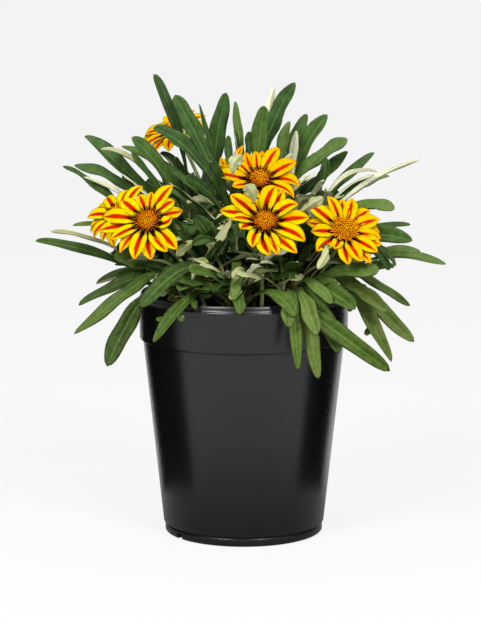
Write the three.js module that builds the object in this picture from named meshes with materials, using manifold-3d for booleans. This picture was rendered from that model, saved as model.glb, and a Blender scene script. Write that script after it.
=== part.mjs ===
// A potted gazania: black nursery pot, potting soil, leafy shoots and striped daisy blooms.
// Millimetres, +Z up, the origin at the middle of the pot's flat underside, -Y towards the front.
import * as THREE from "three";
import { mergeVertices } from "three/addons/utils/BufferGeometryUtils.js";
import Module from "manifold-3d";

const RIM_Z = 194; // top of the rolled rim
const RIM_R = 84.2; // rim bead, outside
const COLLAR_R = 83.2;
const STEP_Z = 157; // the small step under the collar
const WALL_TOP_R = 80.3;
const WALL_FOOT_R = 64.4;
const FOOT_R = 63.2; // foot ring
const FOOT_Z = 7;
const WALL = 1.6;
const FLOOR = 2.4;
const POT_SIDES = 32;
const SLOT_ANGLES = [216, 36]; // drainage slots in the foot ring, degrees from +X
const SOIL_Z = 180;
const GAP = 0.3;
const HOLE_DEPTH = 10; // how far each stem stands in the soil
const STEM_R = 3.1;
const STALK_R = 1.6;
const BLADE = 0.7; // leaf thickness
const FOLDED_WIDTH = 13.5; // leaves at least this wide are folded along the midrib
const PETAL = 0.62;
const HUB_R = 5;
const DISC_R = 8.6;
const GOLDEN = 137.5;

const DEG = Math.PI / 180;
const wasm = await Module();
wasm.setup();
const plant = new THREE.Group();
const placed = []; // { name, solid } of every node so far

const v3 = (x, y, z) => new THREE.Vector3(x, y, z);

function solidOf(geometry) {
  geometry.deleteAttribute("normal");
  geometry.deleteAttribute("uv");
  const merged = mergeVertices(geometry, 1e-4);
  const index = [];
  for (let i = 0; i < merged.index.count; i += 3) {
    const [a, b, c] = merged.index.array.subarray(i, i + 3);
    if (a !== b && b !== c && a !== c) index.push(a, b, c);
  }
  return new wasm.Manifold(
    new wasm.Mesh({
      numProp: 3,
      vertProperties: merged.attributes.position.array,
      triVerts: new Uint32Array(index),
    }),
  );
}

// The outer skin alone: pockets shut in between crossing blades are filled.
function outerSkin(solid) {
  return solid.decompose().reduce((a, b) => (a.volume() > b.volume() ? a : b));
}

function addNode(name, solid, colour, roughness) {
  const { numProp, numVert, vertProperties, triVerts } = solid.getMesh();
  const position = new Float32Array(numVert * 3);
  for (let i = 0; i < numVert; i++) {
    position.set(vertProperties.subarray(i * numProp, i * numProp + 3), i * 3);
  }
  const geometry = new THREE.BufferGeometry()
    .setAttribute("position", new THREE.BufferAttribute(position, 3))
    .setIndex(new THREE.BufferAttribute(new Uint32Array(triVerts), 1));
  geometry.computeVertexNormals();
  const material = new THREE.MeshStandardMaterial({ color: colour, roughness, metalness: 0 });
  const mesh = new THREE.Mesh(geometry, material);
  mesh.name = name;
  plant.add(mesh);
  placed.push({ name, solid });
}

function skin(position, index) {
  const geometry = new THREE.BufferGeometry();
  geometry.setAttribute("position", new THREE.Float32BufferAttribute(position, 3));
  geometry.setIndex(index);
  return solidOf(geometry);
}

const UNDERSIDE = { 4: [2], 6: [3, 4] }; // columns of a blade's underside, by points in a ring

// Faces between one ring of n points and the next. Quads in the flipped columns are cut along
// the other diagonal, so that both faces of a blade fold alike.
function spans(start, count, n, flipped = []) {
  const index = [];
  for (let i = 0; i + 1 < count; i++) {
    for (let j = 0; j < n; j++) {
      const a = start + i * n + j;
      const b = start + i * n + ((j + 1) % n);
      const c = b + n;
      const d = a + n;
      if (flipped.includes(j)) index.push(a, b, d, b, c, d);
      else index.push(a, b, c, a, c, d);
    }
  }
  return index;
}

const flat = (rings) => rings.flat().flatMap((p) => [p.x, p.y, p.z]);

// A closed skin through rings of equal point counts, capped at both ends.
function loft(rings, flipped) {
  const n = rings[0].length;
  const index = spans(0, rings.length, n, flipped);
  const last = (rings.length - 1) * n;
  for (let j = 1; j + 1 < n; j++) {
    index.push(0, j + 1, j);
    index.push(last, last + j, last + j + 1);
  }
  return skin(flat(rings), index);
}

// Rings of a blade along a curve, folded along its midrib or flat. Each row of profile is [share
// of length, half width, thickness, rise of the edges]. face is where the upper side looks.
function bladeRings(curve, face, profile, extra = 0, folded = true) {
  return profile.map(([u, half, thick, fold]) => {
    const p = curve.getPoint(u);
    const along = curve.getTangent(u);
    const up = face.clone().addScaledVector(along, -face.dot(along)).normalize();
    const side = along.clone().cross(up);
    const corner = (s, r, t) => p.clone().addScaledVector(side, s).addScaledVector(up, r + t);
    const h = half + extra;
    const t = thick / 2 + extra;
    if (!folded) return [corner(-h, 0, t), corner(h, 0, t), corner(h, 0, -t), corner(-h, 0, -t)];
    return [
      corner(-h, fold, t), corner(0, 0, t), corner(h, fold, t),
      corner(h, fold, -t), corner(0, 0, -t), corner(-h, fold, -t),
    ];
  });
}

const blade = (rings) => loft(rings, UNDERSIDE[rings[0].length]);

// A round stem through points, upright at its foot.
function tube(points, radii, sides) {
  const rings = points.map((p, i) => {
    const next = points[Math.min(i + 1, points.length - 1)];
    const along = i ? next.clone().sub(points[i - 1]).normalize() : v3(0, 0, 1);
    const a = v3(1, 0, 0).addScaledVector(along, -along.x).normalize();
    const b = along.clone().cross(a);
    return Array.from({ length: sides }, (_, j) => {
      const angle = (j / sides) * 2 * Math.PI;
      return p.clone().addScaledVector(a, radii[i] * Math.cos(angle))
        .addScaledVector(b, radii[i] * Math.sin(angle));
    });
  });
  return loft(rings);
}

function lathe(profile, sides) {
  const points = profile.map(([r, z]) => new THREE.Vector2(r, z));
  return solidOf(new THREE.LatheGeometry(points, sides).rotateX(Math.PI / 2));
}

// Park-Miller draws between 0 and 1, started again for each node.
function draws(seed) {
  let state = seed;
  return () => {
    state = (state * 16807) % 2147483647;
    return state / 2147483647;
  };
}

// ---- Pot: foot ring, tapered wall, step, collar and rolled rim, one moulding ----

const potProfile = [
  [0, 0], [FOOT_R - 1, 0], [FOOT_R, 1], [FOOT_R, FOOT_Z - 0.8], [FOOT_R - 0.5, FOOT_Z - 0.2],
  [WALL_FOOT_R, FOOT_Z + 0.8], [WALL_TOP_R, STEP_Z - 1.4], [COLLAR_R - 0.3, STEP_Z + 0.3],
  [COLLAR_R + 0.4, RIM_Z - 6.4], [RIM_R, RIM_Z - 5.4], [RIM_R, RIM_Z - 1], [RIM_R - 1, RIM_Z],
  [RIM_R - 2.6, RIM_Z], [COLLAR_R - WALL, RIM_Z - 2], [COLLAR_R - WALL - 0.3, STEP_Z + 1],
  [WALL_TOP_R - WALL, STEP_Z - 2], [WALL_FOOT_R - WALL - 1, FLOOR + 4],
  [FOOT_R - WALL - 1.6, FLOOR], [0, FLOOR],
];
let pot = lathe(potProfile, POT_SIDES);
for (const angle of SLOT_ANGLES) {
  const slot = new THREE.BoxGeometry(16, 7, 9);
  slot.translate(FOOT_R, 0, 0).rotateZ(angle * DEG);
  pot = pot.subtract(solidOf(slot));
}
for (let i = 0; i < 6; i++) {
  const drain = new THREE.CylinderGeometry(5, 5, 12, 10).rotateX(Math.PI / 2);
  const angle = (i * 60 + 6) * DEG;
  drain.translate(38 * Math.cos(angle), 38 * Math.sin(angle), 0);
  pot = pot.subtract(solidOf(drain));
}
addNode("pot", pot, 0x232425, 0.4);

// ---- Blooms: head is the middle of the flower, looks where it faces, open and tip the climb of the
// petals at root and tip. Each petal is [angle at its root, angle at its tip, length from the
// middle, width], anticlockwise ----

const BLOOMS = [
  { name: "front_left", head: [-73, -78, 259], looks: [-0.15, -0.84, 0.52], root: [-30, -54],
    open: 16, tip: -10, petals: [
      [15, 8, 29, 9], [37, 36, 28, 10], [60, 53, 36, 11], [80, 79, 26, 7], [98, 102, 26, 10],
      [134, 131, 31, 12], [150, 149, 29, 9], [162, 167, 38, 12], [182, 183, 40, 10], [200, 203, 33, 9],
      [217, 225, 34, 10], [244, 250, 35, 11.5], [264, 271, 33, 12], [286, 295, 33, 10.5],
      [309, 306, 34, 12], [338, 360, 25, 11],
    ] },
  { name: "far_left", head: [-97, -34, 258], looks: [-0.4, -0.6, 0.69], root: [-52, -26],
    open: 14, tip: -20, petals: [
      [15, 15, 27, 9], [45, 46, 35, 11], [70, 69, 30, 11], [105, 108, 29, 10], [130, 131, 30, 11],
      [150, 153, 31, 11], [172, 176, 30, 11], [195, 198, 29, 10], [222, 224, 25, 9], [248, 254, 33, 10],
      [275, 275, 28, 10], [300, 300, 26, 10], [325, 325, 26, 10], [350, 350, 26, 10],
    ] },
  { name: "upper", head: [12, -22, 284], looks: [0.02, -0.68, 0.73], root: [8, -26],
    open: 18, tip: 0, petals: [
      [8, -6, 35, 12], [30, 30, 35, 13], [48, 49, 27, 10], [68, 66, 37, 12], [86, 86, 30, 7],
      [98, 97, 29, 8], [120, 110, 31, 9], [140, 137, 32, 9], [172, 173, 30, 12], [205, 203, 24, 9],
      [240, 243, 22, 9], [272, 272, 22, 8], [303, 303, 24, 9], [335, 329, 35, 11],
    ] },
  { name: "centre", head: [16, -84, 259], looks: [0.05, -0.8, 0.6], root: [14, -56],
    open: 16, tip: -6, petals: [
      [11, 11, 35, 13], [42, 35, 33, 12], [66, 64, 32, 11], [90, 76, 35, 13], [118, 118, 24, 9],
      [143, 143, 36, 12], [160, 166, 37, 11], [172, 178, 29, 9], [190, 205, 21, 10], [236, 247, 27, 10],
      [262, 279, 32, 12], [285, 292, 32, 11], [306, 314, 37, 12], [337, 335, 36, 13],
    ] },
  { name: "right", head: [77, -66, 250], looks: [0.12, -0.8, 0.59], root: [52, -40],
    open: 20, tip: 0, petals: [
      [8, 7, 28, 11], [27, 25, 30, 12], [50, 47, 28, 12], [78, 80, 29, 11], [97, 98, 28, 11],
      [115, 118, 33, 9.5], [133, 136, 27, 9], [150, 151, 36, 12], [174, 172, 31, 10], [192, 193, 28, 11],
      [222, 225, 30, 12], [248, 248, 20, 9], [272, 278, 31, 12], [291, 298, 32, 11], [307, 308, 35, 9],
      [322, 325, 33, 11], [338, 342, 31, 11], [353, 352, 30, 10],
    ] },
  { name: "back", head: [-55, 42, 318], looks: [-0.4, -0.42, 0.81], root: [-18, 52],
    open: 12, tip: -16, petals: [
      [15, 15, 28, 11], [45, 45, 28, 10], [75, 75, 28, 10], [100, 100, 29, 10], [130, 130, 29, 11],
      [152, 155, 32, 12], [170, 172, 34, 13], [190, 195, 33, 12], [215, 219, 30, 11], [250, 250, 28, 11],
      [290, 290, 28, 11], [330, 332, 30, 11],
    ] },
  { name: "half_open", head: [-10, 2, 286], looks: [-0.16, -0.1, 0.98], root: [-14, 8],
    open: 74, tip: 66, petals: [
      [4, 4, 22, 8], [44, 44, 22, 8], [84, 84, 22, 8], [124, 124, 22, 8], [164, 164, 22, 8],
      [204, 204, 22, 8], [244, 244, 22, 8], [284, 284, 22, 8], [324, 324, 22, 8],
    ] },
];
const soilHoles = [];

// The wheel of petals, in the frame of the head: every second petal lies over its neighbours,
// and all grow out of one hub as a single skin.
function raysOf(bloom, frame, random) {
  const open = bloom.open < 45;
  const angles = bloom.petals.map(([root]) => root * DEG);
  const rings = bloom.petals.map(([root, tip, reach, width], i) => {
    const angle = angles[i];
    const layer = i % 2 ? 1 : -1;
    const before = (angles.at(i - 1) + angle) / 2 - (i ? 0 : Math.PI);
    const after = (angle + (angles[i + 1] ?? angles[0] + 2 * Math.PI)) / 2;
    const rim = (a, z) => v3(HUB_R * Math.cos(a), HUB_R * Math.sin(a), z);
    const hub = [
      rim(after, 0.4), rim(angle, 0.4), rim(before, 0.4),
      rim(before, -0.8), rim(angle, -0.8), rim(after, -0.8),
    ];
    const rootR = open ? 9 : 7.6;
    const length = reach - rootR;
    const sector = 2 * Math.min(after - angle, angle - before);
    const heading = angle + ((tip - root) * DEG * 2 * reach) / length;
    const climb = (bloom.open + 2.5 * layer) * DEG;
    const end = (bloom.tip + 10 * (random() - 0.5)) * DEG;
    const lean = 10 * (random() - 0.5) * DEG;
    const out = v3(Math.cos(angle), Math.sin(angle), 0);
    const on = v3(Math.cos(heading), Math.sin(heading), 0);
    const step = (p, l, a, way = out) => p.clone().addScaledVector(way, l * Math.cos(a))
      .add(v3(0, 0, l * Math.sin(a)));
    const from = step(step(v3(0, 0, 0), rootR, 0), 0.65 * layer, climb + Math.PI / 2);
    const mid = step(from, length / 2, climb);
    const curve = new THREE.QuadraticBezierCurve3(from, mid, step(mid, length / 2, end, on));
    const face = open ? v3(0, 0, 1) : out.clone().negate();
    face.applyAxisAngle(open ? out : v3(0, 0, 1), lean);
    return [hub, ...bladeRings(curve, face, [
      [0, 0.42 * sector * rootR, 0.7, 0.1], [0.44, 0.44 * width, PETAL, 0.8],
      [0.76, 0.4 * width, PETAL, 1], [1, 0, PETAL, 0],
    ])];
  });
  const index = rings.flatMap((petal, i) => spans(i * 30, petal.length, 6, UNDERSIDE[6]));
  const top = rings.length * 30;
  rings.forEach((_, i) => {
    const h = i * 30;
    index.push(top, h + 2, h + 1, top, h + 1, h, top + 1, h + 5, h + 4, top + 1, h + 4, h + 3);
  });
  const middle = [v3(0, 0, 0.6), v3(0, 0, -1)];
  return skin(flat([...rings.flat(), middle]), index).transform(frame);
}

// A dome of small florets that stands on a foot over the hub.
function discOf(bloom, frame) {
  const k = bloom.open < 45 ? 1 : 0.5;
  const sides = 10;
  const rows = [
    [4, 0.9, 0], [DISC_R, 3.2, 0], [DISC_R - 0.4, 4.6, 0.4], [5.8, 6.2, 0.45], [2.2, 6.7, 0.3],
  ];
  const rings = rows.map(([r, z, bump], row) =>
    Array.from({ length: sides }, (_, j) => {
      const angle = ((j + (row % 2) / 2) / sides) * 2 * Math.PI;
      const lift = bump * (j % 2 ? 1 : -1);
      return v3(k * (r + lift * 0.5) * Math.cos(angle), k * (r + lift * 0.5) * Math.sin(angle),
        0.9 + k * (z - 0.9 + lift));
    }),
  );
  return loft(rings).transform(frame);
}

// The green bell under the petals, its rim cut in pointed teeth, and the stalk below it.
function stalkOf(bloom, frame, head, looks) {
  const sides = 10;
  const rows = [[1.6, -14], [6.6, -8]];
  const rings = rows.map(([r, z]) =>
    Array.from({ length: sides }, (_, j) => {
      const angle = (j / sides) * 2 * Math.PI;
      return v3(r * Math.cos(angle), r * Math.sin(angle), z);
    }),
  );
  rings.push(Array.from({ length: sides }, (_, j) => {
    const angle = (j / sides) * 2 * Math.PI;
    const r = j % 2 ? 8.4 : 7.2;
    return v3(r * Math.cos(angle), r * Math.sin(angle), j % 2 ? -1.3 : -2.6);
  }));
  const bell = loft(rings).transform(frame);
  const [x, y] = bloom.root;
  const foot = v3(x, y, SOIL_Z - HOLE_DEPTH + GAP);
  const neck = head.clone().addScaledVector(looks, -12.5);
  const ground = v3(x, y, SOIL_Z + 2);
  const curve = new THREE.CubicBezierCurve3(
    ground,
    ground.clone().setZ(ground.z + (neck.z - ground.z) * 0.5),
    neck.clone().addScaledVector(looks, -24),
    neck,
  );
  soilHoles.push([x, y, STALK_R]);
  const radii = [1.7, 1.6, 1.6, 1.5, 1.5, 1.9];
  return bell.add(tube([foot, ...curve.getPoints(4)], radii, 6));
}

BLOOMS.forEach((bloom, i) => {
  const head = v3(...bloom.head);
  const looks = v3(...bloom.looks).normalize();
  const turn = new THREE.Quaternion().setFromUnitVectors(v3(0, 0, 1), looks);
  const frame = new THREE.Matrix4().compose(head, turn, v3(1, 1, 1)).elements;
  addNode(`stalk_${bloom.name}`, stalkOf(bloom, frame, head, looks), 0x7d9650, 0.6);
  addNode(`rays_${bloom.name}`, raysOf(bloom, frame, draws(11 + i)), 0xf4b516, 0.55);
  addNode(`disc_${bloom.name}`, discOf(bloom, frame), 0xb8641c, 0.7);
});

// ---- Leafy shoots. Each leaf is [tip x, y, z, arch over the chord, width, turn of the upper
// side to the front (-1 turns it away), side lobes, bow to the right, bow to the front].
// Further leaves follow the golden angle ----

const SHOOTS = [
  { name: "left_front", crown: [-42, -38, 200], leaves: [
    [-129, -45, 189, 27, 11, 0.4], [-131, -72, 171, 44, 11, 0.5], [-105, -84, 148, 28, 15, 0.6, 0, -18],
    [-101, -40, 228, 8, 14, 0.8], [-68, -88, 208, 10, 12, 0.6], [-49, -92, 208, 12, 11, 0.6],
  ], more: 5, start: 200, reach: 46, climb: 30 },
  { name: "front", crown: [-6, -44, 200], leaves: [
    [-79, -98, 184, 34, 13, 0.5], [-69, -99, 163, 22, 9, 0.5, 2, -4], [-42, -88, 223, 10, 11, 0.5],
    [-3, -94, 190, 14, 9, 0.6], [12, -84, 226, 8, 7, -0.6], [39, -97, 189, 16, 11, 0.5],
  ], more: 8, start: 240, reach: 44, climb: 36 },
  { name: "right_front", crown: [33, -42, 203], leaves: [
    [112, -88, 139, 10, 14, 0.6, 0, -24, 30], [45, -96, 141, 22, 9, 0.5, 0, 0, 8],
    [57, -90, 133, 26, 12, 0.5, 0, 0, 8], [56, -104, 170, 20, 13, 0.6, 0, 0, 4],
    [34, -99, 175, 18, 12, 0.6, 0, 0, 4], [73, -88, 147, 16, 13, 0.4, 0, 0, 6],
    [85, -94, 188, 16, 16, 0.6], [103, -84, 222, 12, 14, 0.5], [67, -92, 186, 16, 10, 0.4],
  ], more: 5, start: 290, reach: 46, climb: 36 },
  { name: "right", crown: [56, -8, 206], leaves: [
    [118, -44, 139, 24, 11, 0.5, 2, 2], [134, -32, 152, 32, 12, 0.5],
    [112, -54, 186, 16, 11, 0.4], [131, -28, 186, 31, 7, 0.4], [117, -45, 219, 12, 9, 0.4],
    [160, -12, 217, 30, 9, 0.4], [139, -28, 228, 22, 9, 0.3],
  ], more: 7, start: 340, reach: 60, climb: 40 },
  { name: "left", crown: [-56, -2, 208], leaves: [
    [-143, -5, 294, 24, 11, 0.4],
    [-165, -8, 235, 15, 9, 0.6], [-154, 10, 240, 20, 6, -0.5], [-135, -15, 248, 30, 10, 0.3],
    [-101, -40, 229, 8, 11, 0.4],
  ], more: 6, start: 170, reach: 60, climb: 38 },
  { name: "middle", crown: [0, -6, 236], leaves: [
    [-54, 2, 350, 4, 13, 0.7], [-71, -15, 325, 32, 12, 0.5], [-45, -45, 290, 18, 10, 0.6],
    [-17, -40, 304, 4, 9, 0.7], [-97, 5, 309, 24, 11, 0.3], [-2, -74, 211, 26, 8, 0.6],
    [15, -88, 200, 26, 10, 0.6], [-34, 8, 343, 2, 6, 0.3, 0, -8],
  ], more: 9, start: 230, reach: 58, climb: 46 },
  { name: "left_high", crown: [-42, 8, 238], leaves: [
    [-71, 4, 366, 10, 11, 0.5, 0, 12], [-88, -18, 318, 6, 13, 0.6, 0, 9],
    [-126, -10, 286, 14, 6, -0.6], [-135, 10, 293, 20, 12, 0.4],
    [-127, 15, 316, 4, 14, 0.5], [-113, 0, 307, 34, 6, -0.6], [-88, -25, 307, 6, 10, 0.4],
  ], more: 7, start: 150, reach: 60, climb: 44 },
  { name: "right_high", crown: [44, 12, 232], leaves: [
    [133, -14, 236, 22, 13, 0.8], [133, 8, 246, 12, 7, 0.3], [104, 14, 303, 4, 11, 0.5, 0, -6],
    [140, 0, 299, 18, 6, -0.6], [106, -10, 290, 38, 6, -0.5], [116, 5, 284, 20, 10, 0.3],
    [118, -25, 262, 32, 12, 0.4],
  ], more: 8, start: 0, reach: 62, climb: 42 },
  { name: "top", crown: [6, 24, 242], leaves: [
    [24, 30, 354, 3, 8, -0.8], [41, 25, 358, 2, 13, 0.7, 0, -12], [16, 6, 341, 2, 13, 0.8],
    [-7, 26, 343, 6, 7, -0.6], [82, 0, 315, 18, 13, 0.5], [-8, 14, 321, 3, 8, 0.4],
  ], more: 8, start: 60, reach: 56, climb: 60 },
  { name: "back_left", crown: [-26, 40, 226], leaves: [
    [-14, 38, 349, 3, 13, 0.8, 0, -9], [-55, 8, 300, 6, 9, 0.5],
  ], more: 8, start: 80, reach: 66, climb: 52 },
  { name: "back_right", crown: [32, 36, 226], leaves: [
    [83, 12, 304, 8, 12, 0.5, 0, -7], [63, -30, 286, 6, 9, 0.4],
    [37, 15, 328, 3, 10, 0.6, 0, -10], [51, 35, 332, 3, 12, 0.6, 0, -15], [67, 30, 332, 3, 12, 0.6, 0, -14],
    [42, 20, 320, 3, 7, -0.7],
  ], more: 7, start: 20, reach: 66, climb: 50 },
  { name: "far_left", crown: [-50, 44, 204], leaves: [], more: 9, start: 150, reach: 76, climb: 42 },
  { name: "far_middle", crown: [2, 58, 204], leaves: [], more: 11, start: 90, reach: 74, climb: 46 },
  { name: "far_right", crown: [52, 44, 204], leaves: [], more: 9, start: 30, reach: 76, climb: 42 },
];

// Ways for a leaf to give way to its neighbours: [swing about its crown in degrees, lift in mm].
const GIVES = [
  [0, 0], [4, 0], [-4, 0], [0, 6], [8, 0], [-8, 0], [4, 6], [-4, 6], [0, 12], [12, 6], [-12, 6],
  [16, 0], [-16, 0], [8, 12], [-8, 12], [0, -8], [20, 6], [-20, 6], [0, 22], [12, -8], [-12, -8],
  [26, 10], [-26, 10], [16, 22], [-16, 22], [34, 4], [-34, 4],
];

// A leaf that ends below the rim bends over it. Any other leaf is one plain arch.
function leafCurve(from, leaf, [swing, lift]) {
  const [x, y, z, arch, , , , bow = 0, forward = 0] = leaf;
  const tip = v3(x - from.x, y - from.y, 0).applyAxisAngle(v3(0, 0, 1), swing * DEG).add(from);
  tip.z = z + lift;
  const edge = RIM_R + 1.5;
  let low;
  let high;
  if (z < RIM_Z && Math.hypot(tip.x, tip.y) > edge + 4) {
    const flat = v3(tip.x - from.x, tip.y - from.y, 0);
    const b = (from.x * flat.x + from.y * flat.y) / flat.lengthSq();
    const c = (from.x ** 2 + from.y ** 2 - edge ** 2) / flat.lengthSq();
    const rim = from.clone().addScaledVector(flat, Math.sqrt(b * b - c) - b);
    low = from.clone().lerp(rim, 0.62).setZ(Math.max(from.z, RIM_Z) + arch + lift);
    high = rim.clone().addScaledVector(flat.normalize(), 3).setZ(Math.max(RIM_Z - 1, z + arch) + lift);
  } else {
    const mid = from.clone().lerp(tip, 0.45).setZ((from.z + tip.z) / 2 + arch + lift);
    low = from.clone().lerp(mid, 2 / 3);
    high = tip.clone().lerp(mid, 2 / 3);
  }
  for (const p of [low, high]) p.add(v3(bow, -forward, 0));
  return new THREE.CubicBezierCurve3(from, low, high, tip);
}

// The blade of a leaf with its side lobes; extra thickens it to test for room, and rows leaves
// out the first rows of its profile.
function leafSolid(from, leaf, give, extra = 0, rows = 0) {
  const [, , , , width, turn, lobes = 0] = leaf;
  const curve = leafCurve(from, leaf, give);
  const inward = from.clone().sub(curve.v3).setZ(0).normalize().multiplyScalar(0.5).setZ(1);
  const face = inward.normalize().multiplyScalar(1 - Math.abs(turn)).add(v3(0, -turn, 0));
  const w = width / 2;
  const folded = width >= FOLDED_WIDTH;
  const profile = folded
    ? [[0, 1.3, 1.4, 0], [0.34, 1.4, 1.1, 0.2], [0.62, w * 0.74, BLADE, w * 0.25]]
    : [[0, 1.2, 1.3, 0], [0.54, w * 0.66, BLADE, 0]];
  profile.push([0.86, w * 0.98, BLADE, w * 0.3], [1, 0, BLADE, 0]);
  let solid = blade(bladeRings(curve, face, profile.slice(rows), extra, folded));
  for (let i = 0; i < lobes * 2; i++) {
    const u = 0.5 + 0.1 * i;
    const at = curve.getPoint(u);
    const along = curve.getTangent(u);
    const side = along.clone().cross(face).normalize().multiplyScalar(i % 2 ? 1 : -1);
    const lobe = along.multiplyScalar(0.6).addScaledVector(side, 0.8).multiplyScalar(15 - 1.5 * i);
    const mid = at.clone().addScaledVector(lobe, 0.5);
    const lobeCurve = new THREE.QuadraticBezierCurve3(at, mid, at.clone().add(lobe));
    solid = solid.add(blade(bladeRings(lobeCurve, face, [
      [0, 1.2, BLADE, 0], [0.6, 2.8, BLADE, 0], [1, 0, BLADE, 0],
    ], extra, false)));
  }
  return solid;
}

function touch(a, b) {
  const [p, q] = [a.boundingBox(), b.boundingBox()];
  for (let i = 0; i < 3; i++) if (p.min[i] > q.max[i] || q.min[i] > p.max[i]) return false;
  return a.intersect(b).volume() > 1e-6;
}

// Leaves that a shoot grows by rule, one golden angle apart.
function ruleLeaves(shoot, random) {
  const [x, y, z] = shoot.crown;
  return Array.from({ length: shoot.more ?? 0 }, (_, i) => {
    const angle = (shoot.start + i * GOLDEN) * DEG;
    const reach = shoot.reach * (0.55 + 0.6 * random());
    const climb = shoot.climb * (1.9 * random() - 0.4);
    const width = 9.5 + 3 * random();
    return [x + reach * Math.cos(angle), y + reach * Math.sin(angle), z + climb, 10 + 12 * random(),
      width, 0.3 * (random() - 0.5)];
  });
}

// Every stem first, then the large leaves, then the leaves that fill the heart of the clump.
const shoots = SHOOTS.map((shoot, s) => {
  const [x, y, z] = shoot.crown;
  const foot = v3(x * 0.9, y * 0.9, SOIL_Z - HOLE_DEPTH + GAP);
  const low = v3(x, y, Math.max(SOIL_Z + 4, z - 24));
  const path = [foot, foot.clone().setZ(SOIL_Z + 1.5), low, v3(x, y, z + 1.5)];
  soilHoles.push([foot.x, foot.y, STEM_R]);
  const leaves = [...shoot.leaves, ...ruleLeaves(shoot, draws(101 + s))];
  const order = leaves.map((leaf) => leaf[2]).sort((p, q) => q - p);
  const pitch = (z - low.z) / (leaves.length + 1);
  const roots = leaves.map((leaf) => {
    const out = v3(leaf[0] - x, leaf[1] - y, 0).setLength(1.2);
    return out.add(v3(x, y, z - pitch * order.indexOf(leaf[2])));
  });
  const solid = tube(path, [STEM_R, STEM_R, STEM_R, STEM_R - 0.4], 6);
  return { name: shoot.name, solid, leaves, roots, listed: shoot.leaves.length };
});

function growLeaf(shoot, i) {
  const [from, leaf] = [shoot.roots[i], shoot.leaves[i]];
  const give = GIVES.find((g) => {
    const room = leafSolid(from, leaf, g, GAP);
    if (placed.some((other) => touch(room, other.solid))) return false;
    if (shoots.some((other) => other !== shoot && touch(room, other.solid))) return false;
    return !touch(leafSolid(from, leaf, g, 0, 1), shoot.solid);
  });
  if (give) shoot.solid = shoot.solid.add(leafSolid(from, leaf, give));
  else console.log("left out", shoot.name, i, i < shoot.listed ? "LISTED" : "");
}
for (const shoot of shoots) for (let i = 0; i < shoot.listed; i++) growLeaf(shoot, i);
for (const shoot of shoots) for (let i = shoot.listed; i < shoot.leaves.length; i++) growLeaf(shoot, i);
shoots.forEach(({ name, solid }) => addNode(`shoot_${name}`, outerSkin(solid), 0x4f7a3c, 0.65));

// ---- Soil: fills the pot to below the rim, crumbly on top, a plain hole for each stem ----

const soilProfile = [
  [0, FLOOR + GAP], [FOOT_R - WALL - 2.4, FLOOR + GAP], [WALL_FOOT_R - WALL - 1.4, FLOOR + 4.4],
  [WALL_TOP_R - WALL - 0.5, STEP_Z - 2], [COLLAR_R - WALL - 0.8, STEP_Z + 1.6],
  [COLLAR_R - WALL - 0.6, SOIL_Z - 1.5], [62, SOIL_Z], [34, SOIL_Z], [0, SOIL_Z],
];
const soilPoints = soilProfile.map(([r, z]) => new THREE.Vector2(r, z));
const bed = new THREE.LatheGeometry(soilPoints, 20).rotateX(Math.PI / 2);
const at = bed.getAttribute("position");
for (let i = 0; i < at.count; i++) {
  const [x, y, z] = [at.getX(i), at.getY(i), at.getZ(i)];
  if (z > SOIL_Z - 1) at.setZ(i, z + 1.1 * Math.sin(x * 0.31) * Math.cos(y * 0.27 + 0.4));
}
let soil = solidOf(bed);
for (const [x, y, r] of soilHoles) {
  const bore = (r + GAP) / Math.cos(Math.PI / 6) + 0.1;
  const hole = new THREE.CylinderGeometry(bore, bore, 2 * HOLE_DEPTH, 6).rotateX(Math.PI / 2);
  soil = soil.subtract(solidOf(hole.translate(x, y, SOIL_Z)));
}
addNode("soil", soil, 0x2b221b, 0.95);

export default plant;
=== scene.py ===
# A potted gazania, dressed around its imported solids. Metres, +Z up, -Y towards the front.
from math import cos, exp, hypot, pi, radians, sin, sqrt
from random import Random

import bmesh
import bpy
from mathutils import Matrix, Vector, noise
from mathutils.kdtree import KDTree


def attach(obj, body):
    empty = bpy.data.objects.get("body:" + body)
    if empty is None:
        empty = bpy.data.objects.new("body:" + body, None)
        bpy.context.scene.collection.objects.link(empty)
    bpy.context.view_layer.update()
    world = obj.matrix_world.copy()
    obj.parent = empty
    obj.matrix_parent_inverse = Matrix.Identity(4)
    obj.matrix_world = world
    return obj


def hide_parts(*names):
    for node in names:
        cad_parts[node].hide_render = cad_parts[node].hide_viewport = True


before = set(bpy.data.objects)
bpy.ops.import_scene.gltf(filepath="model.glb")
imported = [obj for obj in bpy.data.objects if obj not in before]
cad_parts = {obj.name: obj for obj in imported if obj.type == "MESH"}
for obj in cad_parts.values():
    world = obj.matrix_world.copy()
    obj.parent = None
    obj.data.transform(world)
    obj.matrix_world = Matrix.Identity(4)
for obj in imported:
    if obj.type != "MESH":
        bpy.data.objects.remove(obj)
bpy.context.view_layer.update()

# ---- Table, camera and light ----
# A wide white table in a soft studio, seen through a long lens from a little above the pot. Two
# softboxes stand in front, left and right. What only the glossy plastic mirrors is set apart: black
# cards beside the pot, its own shade on the table, and a bright silk overhead.

scene = bpy.context.scene
scene.view_settings.view_transform = "Standard"
MM = 0.001


def linear(code):
    """The linear colour of an sRGB hex value."""
    parts = [int(code[i:i + 2], 16) / 255 for i in (1, 3, 5)]
    return (*[c / 12.92 if c <= 0.04045 else ((c + 0.055) / 1.055) ** 2.4 for c in parts], 1)


def feed(tree, node, inputs):
    """Fills a node's inputs, by name or in their order, each with a value, an output socket or the
    first output of a node."""
    for key, value in inputs.items() if isinstance(inputs, dict) else enumerate(inputs):
        if isinstance(value, bpy.types.Node):
            value = value.outputs[0]
        if isinstance(value, bpy.types.NodeSocket):
            tree.links.new(value, node.inputs[key])
        else:
            node.inputs[key].default_value = value


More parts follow.
